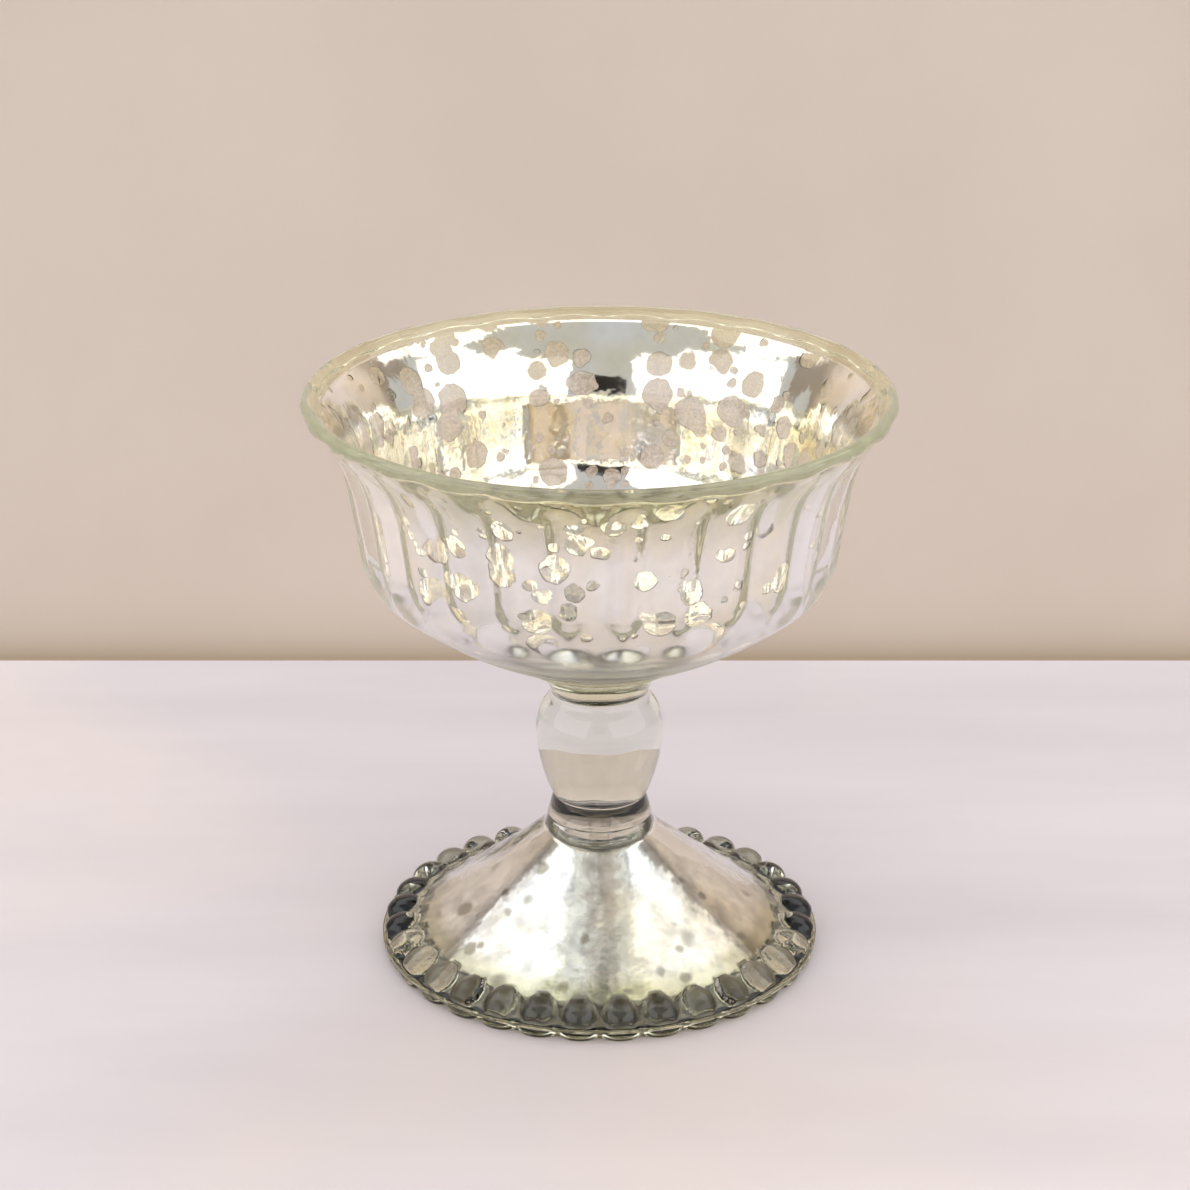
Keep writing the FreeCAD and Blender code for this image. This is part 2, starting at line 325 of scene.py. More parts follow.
    def toned(self, tree: Tree, place: Socket,
              uneven: Socket, spotted: Socket) -> Socket:
        """Colour the film: champagne patches, tarnish and the residue in the spots.

        Args:
            tree: The node tree.
            place: Coordinates in metres.
            uneven: The same, disturbed.
            spotted: Mask of the spots.

        Returns:
            The film's colour.
        """
        patches = add(tree, "TexNoise", {"Vector": place, "Scale": per_mm(self.patch_mm), "Detail": 3.0})
        cast = ramp(tree, patches.outputs["Fac"], [
            (0.42, linear(self.silver)), (0.62, linear(self.champagne))])
        mottle = add(tree, "TexNoise", {
            "Vector": uneven, "Scale": per_mm(self.mottle_mm), "Detail": 5.0}).outputs["Fac"]
        shade = add(tree, "MapRange", {"Value": mottle, "From Min": 0.35, "From Max": 0.6,
                                       "To Min": 1.0 - self.tarnish}).outputs[0]
        tarnished = add(tree, "VectorMath", {0: cast, "Scale": shade}, operation="SCALE").outputs[0]
        return add(tree, "MixRGB", {
            "Fac": spotted, "Color1": tarnished, "Color2": linear(self.residue)}).outputs[0]

    def make(self) -> Material:
        """Build the material.

        Returns:
            The material.
        """
        material, tree, output = new_material(self.name)
        place = add(tree, "TexCoord").outputs["Object"]
        wander = add(tree, "TexNoise", {"Vector": place, "Scale": per_mm(self.wander_mm), "Detail": 2.0})
        shifted = add(tree, "VectorMath", {
            0: wander.outputs["Color"], 1: (self.wander_reach_mm * MM,) * 3}, operation="MULTIPLY")
        uneven = add(tree, "VectorMath", {0: place, 1: shifted.outputs[0]}, operation="ADD").outputs[0]
        spotted, kept = self.opened(tree, place, uneven)
        colour = self.toned(tree, place, uneven, spotted)
        haze = add(tree, "TexNoise", {"Vector": place, "Scale": per_mm(self.haze_mm), "Detail": 4.0})
        rough = add(tree, "MapRange", {"Value": haze.outputs["Fac"], "From Min": 0.5, "From Max": 0.8,
                                       "To Min": self.roughness, "To Max": self.frost})
        waves = add(tree, "TexNoise", {"Vector": place, "Scale": per_mm(self.haze_mm), "Detail": 3.0})
        bump = add(tree, "Bump", {"Height": waves.outputs["Fac"], "Strength": 1.0,
                                  "Distance": self.unevenness_mm * MM})
        film = add(tree, "BsdfPrincipled", {
            "Base Color": colour, "Metallic": 1.0, "Roughness": rough.outputs[0], "Alpha": kept,
            "Normal": bump.outputs["Normal"]})
        tree.links.new(film.outputs[0], output.inputs["Surface"])
        return material


@dataclass(frozen=True)
class ClearLacquer:
    """Sprayed nitrocellulose lacquer over the silver: a thin, glossy, faintly amber coat."""

    name: str
    amber: str = "#fefcf6"
    gloss_roughness: float = 0.05
    run_mm: float = 16.0
    ior: float = 1.5

    def make(self) -> Material:
        """Build the material.

        Returns:
            The material.
        """
        material, tree, output = new_material(self.name)
        place = add(tree, "TexCoord").outputs["Object"]
        runs = add(tree, "TexNoise", {"Vector": place, "Scale": per_mm(self.run_mm), "Detail": 2.0})
        tint = ramp(tree, runs.outputs["Fac"], [(0.4, grey(1.0)), (0.65, linear(self.amber))])
        coat = add(tree, "BsdfTransparent", {"Color": tint})
        gloss = add(tree, "BsdfGlossy", {"Color": grey(1.0), "Roughness": self.gloss_roughness})
        fresnel = add(tree, "Fresnel", {"IOR": self.ior})
        leaving = add(tree, "NewGeometry").outputs["Backfacing"]
        entering = add(tree, "Math", {0: 1.0, 1: leaving}, operation="SUBTRACT")
        shine = add(tree, "Math", {0: fresnel.outputs[0], 1: entering.outputs[0]}, operation="MULTIPLY")
        mixed = add(tree, "MixShader", {0: shine.outputs[0], 1: coat.outputs[0], 2: gloss.outputs[0]})
        tree.links.new(mixed.outputs[0], output.inputs["Surface"])
        return material


@dataclass(frozen=True)
class MattPaint:
    """Plain matt paint or limewash on the stage, with a soft unevenness of tone, and optional painted shade.
    """

    name: str
    light: str
    dark: str
    patch_mm: float = 60.0
    stretch: tuple[float, float, float] = (1.0, 1.0, 1.0)
    # Painted shade: darkens the colour along one axis, given as axis, start, end and the share kept at the
    # end.
    shade_gradient: tuple[str, float, float, float] | None = None
    stain: str | None = None
    # Painted shade: a dark colour laid in a band at one height, with its height, fall-off and strength.
    shade_band: str | None = None
    shade_band_z: float = 0.0
    shade_band_fall_mm: float = 11.0
    shade_band_share: float = 0.72
    stain_mm: float = 170.0
    roughness: float = 0.8

    def add_shade_gradient(self, tree: Tree, place: Socket,
              colour: Socket) -> Socket:
        """Paint shade into the colour: darken it evenly along one axis, between two places, down to a share.

        Args:
            tree: The node tree.
            place: Coordinates in metres.
            colour: The colour so far.

        Returns:
            The changed colour.
        """
        axis, start, end, share = self.shade_gradient
        along = add(tree, "SeparateXYZ", {0: place}).outputs[axis]
        shade = add(tree, "MapRange", {"Value": along, "From Min": start, "From Max": end,
                                       "To Min": 1.0, "To Max": share}).outputs[0]
        return add(tree, "VectorMath", {0: colour, "Scale": shade}, operation="SCALE").outputs[0]

    def stained(self, tree: Tree, place: Socket,
                colour: Socket) -> Socket:
        """Lay faint warm stains over the colour.

        Args:
            tree: The node tree.
            place: Coordinates in metres.
            colour: The colour so far.

        Returns:
            The changed colour.
        """
        patches = add(tree, "TexNoise", {"Vector": place, "Scale": per_mm(self.stain_mm), "Detail": 6.0})
        share = add(tree, "MapRange", {"Value": patches.outputs["Fac"], "From Min": 0.5, "From Max": 0.72,
                                       "To Max": 0.8}).outputs[0]
        return add(tree, "MixRGB", {"Fac": share, "Color1": colour, "Color2": linear(self.stain)}).outputs[0]

    def add_shade_band(self, tree: Tree, place: Socket,
               colour: Socket) -> Socket:
        """Paint shade into the colour: a dark band at one height that fades off above and below it.

        Args:
            tree: The node tree.
            place: Coordinates in metres.
            colour: The colour so far.

        Returns:
            The changed colour.
        """
        height = add(tree, "SeparateXYZ", {0: place}).outputs["Z"]
        offset = add(tree, "Math", {0: height, 1: self.shade_band_z}, operation="SUBTRACT").outputs[0]
        above = add(tree, "Math", {0: offset}, operation="ABSOLUTE").outputs[0]
        fall = add(tree, "Math", {0: above, 1: -self.shade_band_fall_mm * MM}, operation="DIVIDE").outputs[0]
        share = add(tree, "Math", {0: fall}, operation="EXPONENT").outputs[0]
        mixed = add(tree, "Math", {0: share, 1: self.shade_band_share}, operation="MULTIPLY", use_clamp=True)
        return add(tree, "MixRGB", {
            "Fac": mixed.outputs[0], "Color1": colour, "Color2": linear(self.shade_band)}).outputs[0]

    def make(self) -> Material:
        """Build the material.

        Returns:
            The material.
        """
        material, tree, output = new_material(self.name)
        place = add(tree, "TexCoord").outputs["Object"]
        drawn = add(tree, "VectorMath", {0: place, 1: self.stretch}, operation="MULTIPLY")
        noise = add(tree, "TexNoise", {
            "Vector": drawn.outputs[0], "Scale": per_mm(self.patch_mm), "Detail": 5.0})
        colour = ramp(tree, noise.outputs["Fac"], [(0.35, linear(self.dark)), (0.65, linear(self.light))])
        # Painted shade: darker along one axis.
        if self.shade_gradient:
            colour = self.add_shade_gradient(tree, place, colour)
        if self.stain:
            colour = self.stained(tree, place, colour)
        # Painted shade: a dark band at one height.
        if self.shade_band:
            colour = self.add_shade_band(tree, place, colour)
        paint = add(tree, "BsdfPrincipled", {"Base Color": colour, "Roughness": self.roughness})
        tree.links.new(paint.outputs[0], output.inputs["Surface"])
        return material


class Finish(Enum):
    """The finishes of the holder and of the stage it stands on."""

    # Soda-lime glass, pressed and fire-polished: clear across a flat, pale green along an edge.
    BOWL_GLASS = PressedGlass(
        "pressed_glass_pale_green", tint="#d6dab4", absorption=6.0, frost_z=0.0690,
        skin=((54.0, "#eaedd6"), (62.0, "#fdfdfb"), (86.0, "#fdfdfb"), (95.0, "#f5f5e6"), (98.2, "#f8f6d6")))
    # The same melt as one solid gather: a clear lens with a faint grey cast.
    KNOP_GLASS = PressedGlass("pressed_glass_clear", tint="#d8dcc8", absorption=22.0)
    # A gather with more iron in it: yellow-green at its edges.
    FLARE_GLASS = PressedGlass("pressed_glass_yellow_green", tint="#cfd09c", absorption=30.0)
    # Gathers that lap over one another swallow light: a dark olive ring.
    COLLAR_GLASS = PressedGlass("pressed_glass_olive", tint="#8a8064", absorption=190.0)
    # Pressed thin over the silver, solid in the beads: near neutral on the cone, olive at the edge.
    FOOT_GLASS = PressedGlass(
        "pressed_glass_olive_tint", tint="#d0cfb8", absorption=20.0,
        skin=((0.0, "#d3d1b6"), (4.3, "#d6d4bc"), (5.8, "#fcfcfa")))
    # Chemically deposited silver, etched wet: a bright mirror broken by round, see-through spots.
    BOWL_SILVER = MercurySilvering("mercury_silvering_bowl")
    # The same silver, hazed and tarnished: soft reflections with tan and grey mottles.
    FOOT_SILVER = MercurySilvering(
        "mercury_silvering_foot", silver="#f6f6f7", champagne="#ebe3d2", spot_share=0.14, spot_blur=0.16,
        spot_clearness=0.45, speck_cell_mm=4.0, speck_share=0.30, ragged_z=0.0024, ragged_mm=1.4,
        silver_below=False, tarnish=0.36, roughness=0.12)
    # Sprayed nitrocellulose lacquer, glossy: it adds a second, thinner highlight.
    LACQUER = ClearLacquer("clear_lacquer")
    # Limewash brushed over boards: pale and matt, with long faint streaks, and painted shade that darkens it
    # towards the back, against the extra light there from the softbox above.
    TABLE = MattPaint("limewashed_table_top", "#d8cfd1", "#ccc3c5", 70.0, (0.35, 1.6, 1.0),
                       shade_gradient=("Y", -0.15, 0.12, 0.80), stain="#d4c5bb")
    # Limewash rolled over plaster: warm, even and matt, with painted shade that darkens it towards the top,
    # against the wall wash lamp, and a painted shade band low down, along the line where the table's back
    # edge hides it.
    WALL = MattPaint("limewashed_wall", "#dfd0c3", "#d9c9bc", 200.0,
                     shade_gradient=("Z", -0.33, -0.04, 0.83), shade_band="#a08a68", shade_band_z=-0.3753)
    # Brushed black cotton: nearly no light comes back, so the silver shows a dark shape.
    FLAG = MattPaint("black_duvetyne_flag", "#1b1c1f", "#151618", 20.0)

    def material(self) -> Material:
        """The finish's material, made once."""
        found = bpy.data.materials.get(self.value.name)
        return found or self.value.make()


# ------------------------------------------------------------------ half sections
Point = tuple[float, float]


def bent(start: Point, heading: float, end: Point, steps: int) -> tuple[list[Point], float]:
    """Points of the arc that leaves start along heading and reaches end.

    Args:
        start: First point, in mm.
        heading: Heading at the start, in degrees anticlockwise from outward.
        end: Last point, in mm.
        steps: How many points to give after start.

    Returns:
        The points after start, and the heading at the end in degrees.
    """
    across, up = end[0] - start[0], end[1] - start[1]
    chord = math.hypot(across, up)
    chord_angle = math.atan2(up, across)
    turn = 2 * math.remainder(chord_angle - math.radians(heading), math.tau)
    if abs(turn) < 1e-6:
        points = [(start[0] + across * i / steps, start[1] + up * i / steps) for i in range(1, steps + 1)]
        return points, heading
    radius = chord / (2 * math.sin(turn / 2))
    first = math.radians(heading)
    centre = (start[0] - radius * math.sin(first), start[1] + radius * math.cos(first))
    points = []
    for i in range(1, steps + 1):
        angle = first + turn * i / steps
        points.append((centre[0] + radius * math.sin(angle), centre[1] - radius * math.cos(angle)))
    return points, math.degrees(first + turn)


@dataclass
class Section:
    """A half section in millimetres that grows leg by leg.

    Each point's tag names the leg that reaches it, so a reversed section needs its tags moved.
    """

    points: list[Point] = field(default_factory=list)
    tags: list[str] = field(default_factory=list)
    heading: float = 0.0

    def start(self, r: float, z: float, tag: str) -> Section:
        """Set the first point, in mm, and return the section."""
        self.points.append((r, z))
        self.tags.append(tag)
        return self

    def line(self, r: float, z: float, tag: str, step_mm: float = 0.8) -> Section:
        """Run straight on.

        Args:
            r: Radius of the end.
            z: Height of the end.
            tag: Tag of the new points.
            step_mm: About how far apart the points stand.

        Returns:
            The section itself.
        """
        r0, z0 = self.points[-1]
        count = max(1, round(math.hypot(r - r0, z - z0) / step_mm))
        for i in range(1, count + 1):
            self.points.append((r0 + (r - r0) * i / count, z0 + (z - z0) * i / count))
            self.tags.append(tag)
        self.heading = math.degrees(math.atan2(z - z0, r - r0))
        return self

    def bend(self, r: float, z: float, tag: str, heading: float | None = None,
             step_mm: float = 0.8) -> Section:
        """Run on along an arc.

        Args:
            r: Radius of the end.
            z: Height of the end.
            tag: Tag of the new points.
            heading: Heading at the start in degrees, or None to leave along the last leg.
            step_mm: About how far apart the points stand.

        Returns:
            The section itself.
        """
        start = self.points[-1]
        count = max(4, round(math.hypot(r - start[0], z - start[1]) / step_mm))
        leave = self.heading if heading is None else heading
        points, self.heading = bent(start, leave, (r, z), count)
        self.points.extend(points)
        self.tags.extend([tag] * count)
        return self

    def arrays(self) -> tuple[Array, Array, Array]:
        """Give the run as arrays.

        Returns:
            Radii and heights in mm, and unit normals to the right of the run, which is outwards.
        """
        run = np.array(self.points, float)
        ahead = np.vstack([run[1:], run[-1:]])
        behind = np.vstack([run[:1], run[:-1]])
        tangent = ahead - behind
        tangent /= np.maximum(np.linalg.norm(tangent, axis=1, keepdims=True), 1e-9)
        normal = np.stack([tangent[:, 1], -tangent[:, 0]], axis=1)
        return run[:, 0], run[:, 1], normal


Relief = Callable[[Array, Array, Array, Sequence[str]], Array]


def turned_mesh(name: str, section: Section, around: int, relief: Relief | None = None,
                fused_tags: Iterable[str] = ()) -> Object:
    """Turn a closed half section round the Z axis.

    Args:
        name: The piece's name.
        section: The half section, from the axis round and back to the axis, or a closed loop.
        around: How many columns of faces go round.
        relief: Displacement in mm along the outward normal, by angle, radius, height and tag.
        fused_tags: Tags of the faces where the piece is fused to its neighbour.

    Returns:
        The object, linked to the scene.
    """
    radii, heights, normals = section.arrays()
    angles = np.arange(around) * (math.tau / around)
    theta, _ = np.meshgrid(angles, radii)
    r = np.repeat(radii[:, None], around, axis=1)
    z = np.repeat(heights[:, None], around, axis=1)
    if relief is not None:
        lift = relief(theta, r, z, section.tags)
        r = r + lift * normals[:, :1]
        z = z + lift * normals[:, 1:]
    on_axis = radii < 1e-6
    grid = np.stack([r * np.sin(theta), -r * np.cos(theta), z], axis=-1) * MM
    fused = set(fused_tags)
    verts: list[tuple] = []
    rows: list[list[int]] = []
    for i in range(len(radii)):
        if on_axis[i]:
            rows.append([len(verts)] * around)
            verts.append((0.0, 0.0, float(z[i, 0]) * MM))
        else:
            rows.append(list(range(len(verts), len(verts) + around)))
            verts.extend(map(tuple, grid[i]))
    closed_loop = not (on_axis[0] and on_axis[-1])
    pairs = list(zip(range(len(rows) - 1), range(1, len(rows))))
    if closed_loop:
        pairs.append((len(rows) - 1, 0))
    faces: list[tuple] = []
    marks: list[float] = []
    for a, b in pairs:
        mark = 1.0 if section.tags[b] in fused else 0.0
        for j in range(around):
            k = (j + 1) % around
            face = tuple(dict.fromkeys((rows[a][j], rows[a][k], rows[b][k], rows[b][j])))
            faces.append(face)
            marks.append(mark)
    mesh = bpy.data.meshes.new(name)
    mesh.from_pydata(verts, [], faces)
    attribute = mesh.attributes.new(FUSED, "FLOAT", "FACE")
    attribute.data.foreach_set("value", marks)
    mesh.polygons.foreach_set("use_smooth", [True] * len(faces))
    mesh.validate()
    piece = bpy.data.objects.new(name, mesh)
    bpy.context.scene.collection.objects.link(piece)
    return piece


def install(piece: Object, finish: Finish, slot: str, *nodes: str) -> None:
    """Dress a piece, let it ride, and say which CAD nodes it stands for.

    Args:
        piece: The object.
        finish: Its finish.
        slot: Name of a material slot; not used.
        *nodes: The CAD nodes that it replaces.
    """
    piece.data.materials.append(finish.material())
    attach(piece, BODY)
    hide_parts(*nodes)
    LOG.info("%s stands for %s, finish %s", piece.name, ", ".join(nodes), finish.value.name)


def level(node: str, top: bool = True) -> float:
    """Height in mm of a node's top or bottom in the frame."""
    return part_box(node)[1 if top else 0].z / MM


def half_width(node: str) -> float:
    """Radius in mm of a node, from its box in the frame."""
    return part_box(node)[1].x / MM


def smooth(edge0: float, edge1: float, x: Array) -> Array:
    """Smoothstep from 0 at edge0 to 1 at edge1."""
    t = np.clip((x - edge0) / (edge1 - edge0), 0.0, 1.0)
    return t * t * (3 - 2 * t)


def hand_wobble(theta: Array, z: Array, size_mm: float) -> Array:
    """Slow unevenness of hand-finished glass.

    Args:
        theta: Angle round the axis.
        z: Height in mm.
        size_mm: About the most that it reaches.

    Returns:
        The lift in mm.
    """
    slow = np.sin(2 * theta + 0.6 + z * 0.03) + 0.7 * np.sin(3 * theta - 1.1 - z * 0.05)
    quick = 0.5 * np.sin(5 * theta + 2.0 + z * 0.11) + 0.35 * np.sin(9 * theta - z * 0.17)
    return (slow + quick) * size_mm / 2.5


@dataclass
class Silvered:
    """A hollow pressed piece with silver and lacquer on its inner side, in millimetres."""

    film_gap: float = 0.03
    film: float = 0.12

    def film_piece(self, name: str, near: float, far: float) -> Object:
        """Turn a film between two insets from the glass; each piece has its own run."""
        raise NotImplementedError

    def follow(self, theta: Array, z: Array) -> Array:
        """How far the glass stands off its plain section where the film lies, in mm."""
        raise NotImplementedError

    def film_relief(self, theta: Array, r: Array, z: Array, tags: Sequence[str]) -> Array:
        """Follow the glass; the film's two faces have opposite normals.

        Args:
            theta: Angle round the axis.
            r: Radius in mm.
            z: Height in mm.
            tags: Tag of each row of points.

        Returns:
            The lift along the outward normal, in mm.
        """
        side = np.where(np.array(tags)[:, None] == "near", -1.0, 1.0)
        return self.follow(theta, z) * side

    def coat(self, part: str, silver: Finish) -> None:
        """Make and place the silver film and the lacquer over it.

        Args:
            part: The piece's short name, with which the names of the nodes start.
            silver: The finish of the silver.
        """
        silver_far = self.film_gap + self.film
        lacquer_near = silver_far + self.film_gap
        film = self.film_piece(part + "_silver_film", self.film_gap, silver_far)
        install(film, silver, "silvering", part + "_silvering")
        film = self.film_piece(part + "_lacquer_coat", lacquer_near, lacquer_near + self.film)
        install(film, Finish.LACQUER, "lacquer", part + "_lacquer")


# ------------------------------------------------------------------ bowl
@dataclass
class Bowl(Silvered):
    """The fluted bowl, its silver film and its lacquer, in millimetres."""

    waist: Point = (41.4, 84.0)
    shoulder: Point = (39.5, 72.2)
    knuckle: Point = (36.6, 67.0)
    base_radius: float = 15.5
    wafer_seat: float = 13.7
    underside_heading: float = 21.5
    lip_radius: float = 1.25
    wall: float = 2.8
    floor_z: float = 62.0
    floor_radius: float = 20.5
    flutes: int = 26
    flute_depth: float = 1.05
    flute_wall_depth: float = 0.78
    flute_top_z: float = 97.0
    flute_bottom_z: float = 66.6
    scallop: float = 0.42
    ridge_phase: float = math.radians(-1.0)
    film_top_z: float = 98.4
    around: int = 26 * 17

    def lip_centre(self) -> Point:
        """Middle of the rolled lip's section, from the frame."""
        return half_width("glass_bowl") - self.lip_radius, level("glass_bowl") - self.lip_radius

    def wall_heading(self) -> float:
        """Heading of the straight wall, in degrees."""
        return math.degrees(math.atan2(self.waist[1] - self.shoulder[1], self.waist[0] - self.shoulder[0]))

    def inner_run(self, section: Section, inset: float, top_z: float, tag: str) -> Section:
        """Add the cavity's run from the axis up the wall.

        Args:
            section: The section to add to.
            inset: How far the run stands inside the glass, in mm.
            top_z: Height at which the run stops.
            tag: Tag of the new points.

        Returns:
            The section.
        """
        heading = math.radians(self.wall_heading())
        inward = (-math.sin(heading), math.cos(heading))
        depth = self.wall + inset
        waist = (self.waist[0] + inward[0] * depth, self.waist[1] + inward[1] * depth)
        floor = self.floor_z + inset
        corner_r = waist[0] - (waist[1] - floor) / math.tan(heading)
        reach = corner_r - self.floor_radius
        touch = (corner_r + reach * math.cos(heading), floor + reach * math.sin(heading))
        section.start(0.0, floor, tag).line(self.floor_radius, floor, tag, 1.6)
        section.bend(*touch, tag, 0.0, 0.7).line(*waist, tag, 0.7)
        lip_r, lip_z = self.lip_centre()
        end = (lip_r - self.lip_radius - inset, lip_z + inset * 0.5)
        before = len(section.points)
        section.bend(*end, tag, self.wall_heading(), 0.5)
        while section.points[-1][1] > top_z and len(section.points) > before:
            section.points.pop()
            section.tags.pop()
        return section

    def groove(self, theta: Array, z: Array) -> Array:
        """Depth of the flutes, with arched heads in the flare and rounded toes over the knuckle.

        Args:
            theta: Angle round the axis.
            z: Height in mm.

        Returns:
            The depth in mm.
        """
        turn = (theta - self.ridge_phase) * self.flutes / math.tau
        to_ridge = 1 - 2 * np.abs(turn - np.round(turn))
        valley = np.cos(to_ridge * math.pi / 2) ** 1.5
        head_z = self.flute_top_z - 5.0 * to_ridge ** 2
        toe_z = self.flute_bottom_z + 2.2 * to_ridge ** 2
        head = smooth(0.0, 6.5, head_z - z)
        toe = smooth(0.0, 3.6, z - toe_z)
        depth = self.flute_wall_depth + (self.flute_depth - self.flute_wall_depth) * smooth(80.0, 92.0, z)
        return depth * valley * head * toe

    def rings(self, r: Array, z: Array) -> Array:
        """Concentric marks that the mould's turned base left on the underside."""
        span = smooth(15.6, 17.5, r) * smooth(64.0, 61.0, z)
        return span * (0.06 * np.sin(r * math.tau / 1.9) + 0.04 * np.sin(r * math.tau / 0.83 + 1.0))

    def outer_relief(self, theta: Array, r: Array, z: Array,
                     tags: Sequence[str]) -> Array:
        """Flutes, scalloped lip and wobble on the outside, shallow echoes inside.

        Args:
            theta: Angle round the axis.
            r: Radius in mm.
            z: Height in mm.
            tags: Tag of each row of points.

        Returns:
            The lift along the outward normal, in mm.
        """
        kind = np.array(tags)[:, None]
        scallop = self.scallop * 0.5 * (self.ridges(theta) - 1.0) * self.lip_under(z)
        lift = np.where(kind == "outside", self.rings(r, z) - self.groove(theta, z), 0.0)
        lift = lift + np.where(kind == "lip", scallop, 0.0)
        lift = lift + np.where(kind == "inside", self.inner_echo(theta, z), 0.0)
        return lift + np.where((kind == "base") | (kind == "shelf"), 0.0, hand_wobble(theta, z, 0.10))

    def ridges(self, theta: Array) -> Array:
        """A wave that is 1 on each ridge between two flutes, and -1 in each valley."""
        return np.cos((theta - self.ridge_phase) * self.flutes)

    def lip_under(self, z: Array) -> Array:
        """How much of the scallop reaches this height of the lip."""
        lip_z = self.lip_centre()[1]
        return smooth(lip_z + self.lip_radius, lip_z - self.lip_radius, z)

    def inner_echo(self, theta: Array, z: Array) -> Array:
        """The flutes' faint echo on the inside, where the glass shrank as it set."""
        span = smooth(68.0, 74.0, z) * smooth(97.5, 93.0, z)
        return 0.10 * self.ridges(theta) * span

    def glass(self) -> Object:
        """Turn the pressed glass.

        Returns:
            The piece, one closed surface.
        """
        lip_r, lip_z = self.lip_centre()
        base_z = level("glass_bowl", top=False)
        section = Section().start(0.0, base_z, "base")
        section.line(self.wafer_seat, base_z, "base", 2.0).line(self.base_radius, base_z, "shelf", 0.6)
        section.bend(*self.knuckle, "outside", self.underside_heading, 0.7)
        section.bend(*self.shoulder, "outside", None, 0.45)
        section.line(*self.waist, "outside", 0.5)
        section.bend(lip_r, lip_z - self.lip_radius, "outside", self.wall_heading(), 0.45)
        section.bend(lip_r + self.lip_radius, lip_z, "lip", 0.0, 0.3)
        section.bend(lip_r, lip_z + self.lip_radius, "lip", 90.0, 0.3)
        section.bend(lip_r - self.lip_radius, lip_z, "lip", 180.0, 0.3)
        inside = self.inner_run(Section(), 0.0, lip_z, "inside")
        section.points.extend(reversed(inside.points[:-1]))
        section.tags.extend(reversed(inside.tags[:-1]))
        return turned_mesh("glass_bowl_fluted", section, self.around, self.outer_relief, ["base"])

    def film_piece(self, name: str, near: float, far: float) -> Object:
        """Turn a closed film between two insets of the cavity.

        Args:
            name: The piece's name.
            near: Inset of the side towards the glass, in mm.
            far: Inset of the bare side, in mm.

        Returns:
            The piece.
        """
        outer = self.inner_run(Section(), near, self.film_top_z, "near")
        inner = self.inner_run(Section(), far, self.film_top_z, "far")
        section = Section(outer.points + inner.points[::-1], outer.tags + inner.tags[::-1])
        return turned_mesh(name, section, self.flutes * 12, self.film_relief)

    def follow(self, theta: Array, z: Array) -> Array:
        """How far the glass stands off its plain section where the film lies, in mm."""
        return self.inner_echo(theta, z) + hand_wobble(theta, z, 0.10)

    def build(self) -> None:
        """Make and place the bowl's three pieces."""
        install(self.glass(), Finish.BOWL_GLASS, "bowl_glass", "glass_bowl")
        self.coat("bowl", Finish.BOWL_SILVER)


